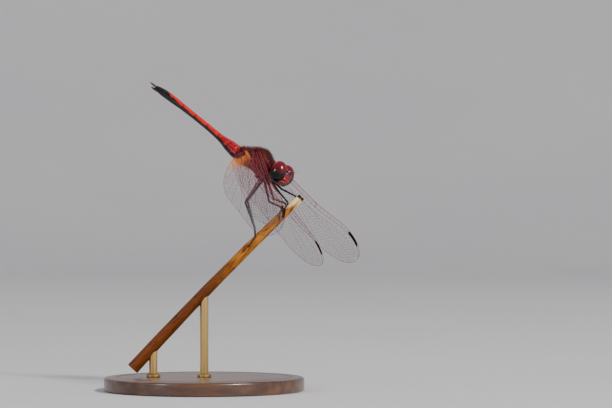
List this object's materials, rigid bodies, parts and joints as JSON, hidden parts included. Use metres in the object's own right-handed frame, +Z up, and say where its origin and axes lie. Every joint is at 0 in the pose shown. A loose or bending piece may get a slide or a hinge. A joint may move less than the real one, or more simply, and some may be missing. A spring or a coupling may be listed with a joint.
{
  "type": "dragonfly",
  "caption": "Life-size dragonfly with a red and black body and clear veined wings held forward and down, gripping a cut reed stem on a small display stand.",
  "frame": {"origin": "centre of the underside of the stand's round base", "axes": "+Z up; +X the way the stem's upper end points, along the floor; +Y to the far side of the stem as seen from the front"},
  "size_m": [0.0486, 0.0394, 0.0595],
  "materials": {
    "abdomen_red": "satin, scarlet with black sides",
    "abdomen_black": "satin",
    "thorax": "satin under fine hair",
    "eye": "glossy",
    "face": "glossy",
    "leg": "satin",
    "wing": "clear film with red and dark veins",
    "stem": "dry and fibrous",
    "base": "dark stained and waxed",
    "rod": "satin"
  },
  "bodies": {
    "root": {"abdomen_1": "abdomen_red", "abdomen_10": "abdomen_black", "abdomen_2": "abdomen_red", "abdomen_3": "abdomen_red", "abdomen_4": "abdomen_red", "abdomen_5": "abdomen_red", "abdomen_6": "abdomen_red", "abdomen_7": "abdomen_red", "abdomen_8": "abdomen_black", "abdomen_9": "abdomen_black", "antenna_left": "leg", "antenna_right": "leg", "cercus_left": "abdomen_black", "cercus_right": "abdomen_black", "epiproct": "abdomen_black", "eye_left": "eye", "eye_right": "eye", "face": "face", "head_capsule": "eye", "leg_front_left_femur": "leg", "leg_front_left_tarsus": "leg", "leg_front_left_tibia": "leg", "leg_front_right_femur": "leg", "leg_front_right_tarsus": "leg", "leg_front_right_tibia": "leg", "leg_hind_left_femur": "leg", "leg_hind_left_tarsus": "leg", "leg_hind_left_tibia": "leg", "leg_hind_right_femur": "leg", "leg_hind_right_tarsus": "leg", "leg_hind_right_tibia": "leg", "leg_middle_left_femur": "leg", "leg_middle_left_tarsus": "leg", "leg_middle_left_tibia": "leg", "leg_middle_right_femur": "leg", "leg_middle_right_tarsus": "leg", "leg_middle_right_tibia": "leg", "mouth": "eye", "neck": "thorax", "prothorax": "thorax", "stand_base": "base", "stand_rod_long": "rod", "stand_rod_short": "rod", "stem": "stem", "thorax": "thorax", "wing_fore_left": "wing", "wing_fore_right": "wing", "wing_hind_left": "wing", "wing_hind_right": "wing"}
  },
  "joints": []
}
